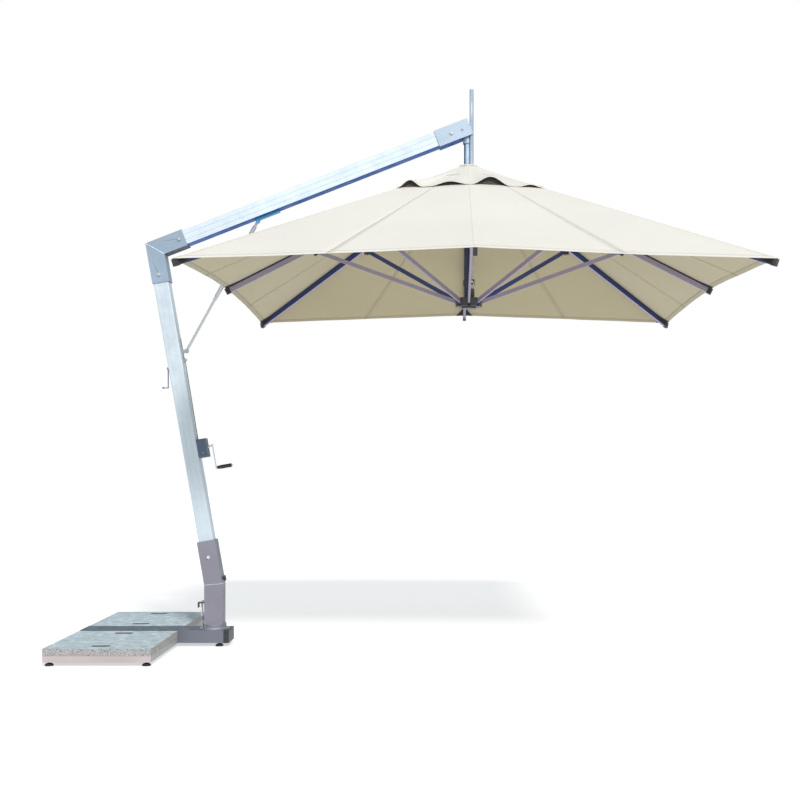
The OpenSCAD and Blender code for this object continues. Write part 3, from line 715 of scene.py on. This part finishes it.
def make_hem(k):
    """Folded band that wraps the cloth's edge, and the row of stitches that holds it."""
    length = (HALF - VENT_HALF) / math.cos(SLOPES[k])
    steps = span(1 - HEM / length, 1 + HEM_FOLD / length, 3)
    rows = rows_of(canopy_point, k, steps, 32, raised=HEM_FOLD / 2)
    band = sheet_object(f"canopy_hem_{k + 1}", rows, CLOTH + HEM_FOLD, ["top", "fold"])
    ride_rib(band, k)
    rows = rows_of(cap_point, k, span(CAP_HEM_FROM, 1.004, 2), 48, raised=CAP_FOLD / 2)
    cap = sheet_object(f"vent_cap_hem_{k + 1}", rows, CLOTH + CAP_FOLD, ["top", "vent"])
    ride_rib(cap, k)
    inside = 1 - (HEM - STITCH_IN) / length
    make_stitches(f"hem_stitches_{k + 1}", canopy_point, k, inside, 150)
    make_stitches(f"cap_stitches_{k + 1}", cap_point, k, CAP_HEM_FROM + 0.007, 60)


def make_stitches(name, surface, k, q, count):
    """A row of raised thread along the hem."""
    points, faces = [], []
    for i in range(count):
        w = -0.5 + (i + 0.5) / count
        middle = surface(k, q, w)
        normal = normal_at(surface, k, q, w)
        heading = (surface(k, q, w + 0.002) - middle).normalized()
        side = normal.cross(heading)
        base = len(points)
        lift = normal * 0.55 * MM
        ends = heading * STITCH / 2
        points += [middle + lift - ends, middle + lift + ends, middle + lift + side * STITCH_HALF,
                   middle + lift - side * STITCH_HALF, middle + lift + normal * 0.75 * MM, middle]
        for a, b in ((0, 2), (2, 1), (1, 3), (3, 0)):
            faces.append(((base + a, base + b, base + 4), 0))
            faces.append(((base + b, base + a, base + 5), 0))
    row = make_object(name, points, faces, ["thread"])
    ride_rib(row, k)


def make_vent_shade(k):
    """Dark sheet that closes the vent between the canopy and the cap's wavy hem, painting the shade in the gap
    under it.
    """
    columns = 48
    q_low = (CAP_HALF * CAP_HEM_FROM - VENT_HALF) / (HALF - VENT_HALF)
    rows = []
    for share in span(0, 1, 6):
        row = []
        for w in span(-0.5, 0.5, columns):
            low = canopy_point(k, q_low, w)
            high = cap_point(k, 0.93, w) - UP * 2.2 * MM
            row.append((low.lerp(high, share), out_of(k)))
        rows.append(row)
    piece = sheet_object(f"vent_painted_shade_{k + 1}", rows, 0.8 * MM, ["vent", "vent"])
    ride_rib(piece, k)


def make_tip_pocket(k):
    """Three-cornered pocket of black webbing under the cloth, which holds the rib's tip."""
    rows = []
    long = (square_reach(k, HALF) - square_reach(k, VENT_HALF)) / math.cos(SLOPES[k])
    wide = POCKET_HALF[is_corner(k)] / HALF
    for share in span(0.06, 1, 8):
        row = []
        for w in span(-wide * share, wide * share, 10):
            q = 1 - (1 - share) * POCKET_LONG[is_corner(k)] / long
            normal = normal_at(canopy_point, k, q, w)
            row.append((canopy_point(k, q, w) - normal * (CLOTH + 1.0 * MM), normal))
        rows.append(row)
    piece = sheet_object(f"tip_pocket_{k + 1}", rows, 1.1 * MM, ["webbing", "webbing"])
    ride_rib(piece, k)


def make_seam(k):
    """Flat-felled seam where two cloth panels meet over a rib."""
    rows = []
    for q in span(0.18, 0.975, 60):
        half = 7 * MM / (square_reach(k, VENT_HALF + (HALF - VENT_HALF) * q) * 0.75 + 0.01)
        row = []
        for i, w in enumerate(span(-half, half, 6)):
            normal = normal_at(canopy_point, k, q, w)
            lift = (0.75 if 0 < i < 6 else 0.1) * MM
            row.append((canopy_point(k, q, w) + normal * lift, normal))
        rows.append(row)
    piece = sheet_object(f"rib_seam_{k + 1}", rows, 0.7 * MM, ["top", "under"])
    ride_rib(piece, k)


def make_tip_sleeve(k):
    """Webbing sleeve that tapers back from a corner rib's end cap."""
    stations = 14
    tip = square_reach(k, HALF) - TAPE_TO
    points, faces = [], []
    for j in range(stations + 1):
        t = j / stations
        reach = tip - SLEEVE_LONG * (1 - t)
        pucker = 0.35 * MM * math.sin(17 * t)
        low = SLEEVE_LOW * t + TAPE_TOP * (1 - t) * 0.6 - pucker
        half = SLEEVE_HALF + pucker
        for side, lift in ((-half, TAPE_TOP), (-half, low + 2 * MM), (-half + 2 * MM, low),
                           (half - 2 * MM, low), (half, low + 2 * MM), (half, TAPE_TOP)):
            points.append(over_rib(k, reach, lift) + along(k) * side)
    for j in range(stations):
        for i in range(6):
            a, b = j * 6 + i, j * 6 + (i + 1) % 6
            faces.append(((a, b, b + 6, a + 6), 0))
    faces.append((tuple(range(5, -1, -1)), 0))
    faces.append((tuple(stations * 6 + i for i in range(6)), 0))
    sleeve = make_object(f"tip_sleeve_{k + 1}", points, faces, ["webbing"], smooth=False)
    ride_rib(sleeve, k, squash=False)


def make_tape(k):
    """Navy webbing folded over the rib, which keeps the cloth from chafing; its near-black navy also paints the
    shade in the gap between rib and cloth.
    """
    rows = []
    for reach in span(pivot_r + TAPE_FROM, square_reach(k, HALF) - TAPE_TO, 24):
        rows.append([(over_rib(k, reach, TAPE_TOP) + along(k) * side, UP)
                     for side in span(-TAPE_WIDE / 2, TAPE_WIDE / 2, 4)])
    tape = sheet_object(f"rib_tape_{k + 1}", rows, TAPE_DEEP, ["tape", "tape"])
    ride_rib(tape, k, squash=False)


def make_canopy():
    for k in range(RIBS):
        panel = rows_of(canopy_point, k, span(0, 1, 44), 32)
        add_sheet("canopy_gore", k, panel, ["top", "under"], "canopy")
        panel = rows_of(cap_point, k, span(0, 1, 20), 48)
        add_sheet("vent_cap_gore", k, panel, ["top", "vent"], "vent_cap")
        make_hem(k)
        make_vent_shade(k)
        make_tip_pocket(k)
        make_seam(k)
        make_tape(k)
        if is_corner(k):
            make_tip_sleeve(k)


# ---- Small rigid details ----
# The slot liner: half length and half width, wall, lip, and steps round each end
LINER_LONG = 52.2 * MM
LINER_HALF = 13.7 * MM
LINER_WALL = 1.2 * MM
LINER_LIP = 3.0 * MM
LINER_TURN = 12


def oval(grow, height, middle):
    """Points round a slot with round ends at one height, outside the liner's wall by grow."""
    points = []
    straight = LINER_LONG - LINER_HALF
    radius = LINER_HALF + grow
    for end, start in ((1, -math.pi / 2), (-1, math.pi / 2)):
        for i in range(LINER_TURN + 1):
            a = start + math.pi * i / LINER_TURN
            points.append(Vector((middle.x + end * straight + radius * math.cos(a),
                                  middle.y + radius * math.sin(a), height)))
    return points


def make_slot_liners():
    """Black moulded liner with a thin lip in each hand slot of the slabs; its black paints the shade inside the
    slot.
    """
    under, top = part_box("slab_front")[0].z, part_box("slab_front")[1].z
    profile = [(0, under), (0, top + 0.2 * MM), (LINER_LIP, top + 0.2 * MM),
               (LINER_LIP, top + 1.0 * MM), (0.6 * LINER_LIP, top + 1.6 * MM),
               (-LINER_WALL, top + 1.2 * MM), (-1.3 * LINER_WALL, top - 3 * MM),
               (-1.5 * LINER_WALL, under)]
    for slot in frame["record"]["physics"]["openings"]:
        low, high = Vector(slot["box_m"][0]), Vector(slot["box_m"][1])
        middle = (low + high) / 2
        rings = [oval(grow, height, middle) for grow, height in profile]
        count = len(rings[0])
        points = [p for ring in rings for p in ring]
        faces = []
        for j in range(len(rings)):
            here, there = j * count, (j + 1) % len(rings) * count
            for i in range(count):
                k = (i + 1) % count
                faces.append(((here + i, there + i, there + k, here + k), 0))
        name = slot["name"].replace("hand_slot", "slot_shade_liner")
        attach(make_object(name, points, faces, ["black"]), "base")


def make_neck():
    """Rolled cloth ring where the vent cap closes round the pole."""
    path = []
    steps = 72
    for i in range(steps):
        a = math.tau * i / steps
        ruck = 1.6 * MM * math.sin(9 * a) + 0.8 * MM * math.sin(23 * a)
        path.append(hub + Vector((math.cos(a), math.sin(a), 0)) * (CAP_NECK - 2 * MM + ruck)
                    + UP * (CAP_NECK_Z + 1.5 * MM + ruck / 2))
    ring = tube_object("cap_neck", path, 5 * MM, "top", sides=12, closed=True)
    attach(ring, "mast")


# The welds: radius of each bead, share of the mitre that is welded, length of a bead's steps, and
# depth and pace of its ripples
MITRE_BEAD = 2.2 * MM
KINK_BEAD = 1.6 * MM
FLANGE_BEAD = 3.2 * MM
MITRE_SHARE = 0.985
BEAD_STEP = 2 * MM
BEAD_RIPPLE = 0.16
BEAD_PACE = 1.7
# Size of the foot bracket's column along X and Y, and its flange's top over the bearing's foot
COLUMN = 112 * MM
COLUMN_DEEP = 108 * MM
FLANGE_TOP = 26.6 * MM


def weld(name, path, bead, look):
    """Rippled bead of weld along a path."""
    fine = []
    for a, b in zip(path, path[1:]):
        steps = max(2, round((b - a).length / BEAD_STEP))
        fine += [a.lerp(b, i / steps) for i in range(steps)]
    fine.append(path[-1])

    def radius(t):
        return bead * (1 + BEAD_RIPPLE * math.sin(t * len(fine) * BEAD_PACE))

    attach(tube_object(name, fine, radius, look, sides=8), "mast")


def round_column(middle, fall=0.0):
    """Closed path round the foot bracket's column, lifted by fall on its +X side."""
    half_x, half_y = COLUMN / 2, COLUMN_DEEP / 2
    sides = ((-1, -1), (1, -1), (1, 1), (-1, 1), (-1, -1))
    return [middle + Vector((x * half_x, y * half_y, x * fall)) for x, y in sides]


def axis_of(name):
    """Middles of a straight tube's two ends, the lower one first."""
    points = np.array([v.co for v in nodes[name].data.vertices], float)
    middle = points.mean(0)
    heading = np.linalg.svd(points - middle, full_matrices=False)[2][0]
    at = (points - middle) @ heading
    ends = [Vector(points[np.abs(at - limit) < MM].mean(0)) for limit in (at.min(), at.max())]
    return sorted(ends, key=lambda p: p.z)


def crossing(a, a_dir, b, b_dir):
    """Where two lines in the plane of the arm cross."""
    across = b_dir.x * a_dir.z - b_dir.z * a_dir.x
    t = (b_dir.x * (b.z - a.z) - b_dir.z * (b.x - a.x)) / across
    return a + a_dir * t


def make_welds():
    """Mitre welds of the elbow, the kink of the foot bracket and its flange."""
    mast_low, mast_high = axis_of("mast_tube")
    arm_low, arm_high = axis_of("arm_tube")
    mast_dir, arm_dir = (mast_high - mast_low).normalized(), (arm_high - arm_low).normalized()
    corner = crossing(mast_low, mast_dir, arm_low, arm_dir)
    half_way = (arm_dir - mast_dir).normalized()
    low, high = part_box("elbow_bracket")
    depth = (high.y - low.y) / 2
    reach = depth / math.sqrt((1 + arm_dir.dot(mast_dir)) / 2) * MITRE_SHARE
    for side, name in ((low.y, "front"), (high.y, "rear")):
        at = Vector((corner.x, side, corner.z))
        path = [at - half_way * reach, at + half_way * reach]
        weld(f"mitre_weld_{name}", path, MITRE_BEAD, "bead")
    kink = crossing(mast_low, mast_dir, swivel, UP)
    lean = math.atan2(-mast_dir.x, mast_dir.z)
    weld("kink_weld", round_column(kink, COLUMN / 2 * math.tan(lean / 2)), KINK_BEAD, "bead")
    flange = Vector((swivel.x, 0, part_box("swivel_bearing")[0].z + FLANGE_TOP))
    weld("flange_weld", round_column(flange), FLANGE_BEAD, "foot")


make_camera()
make_light()
make_floor()
dress_nodes()
round_edges()
make_canopy()
make_neck()
make_welds()
make_slot_liners()
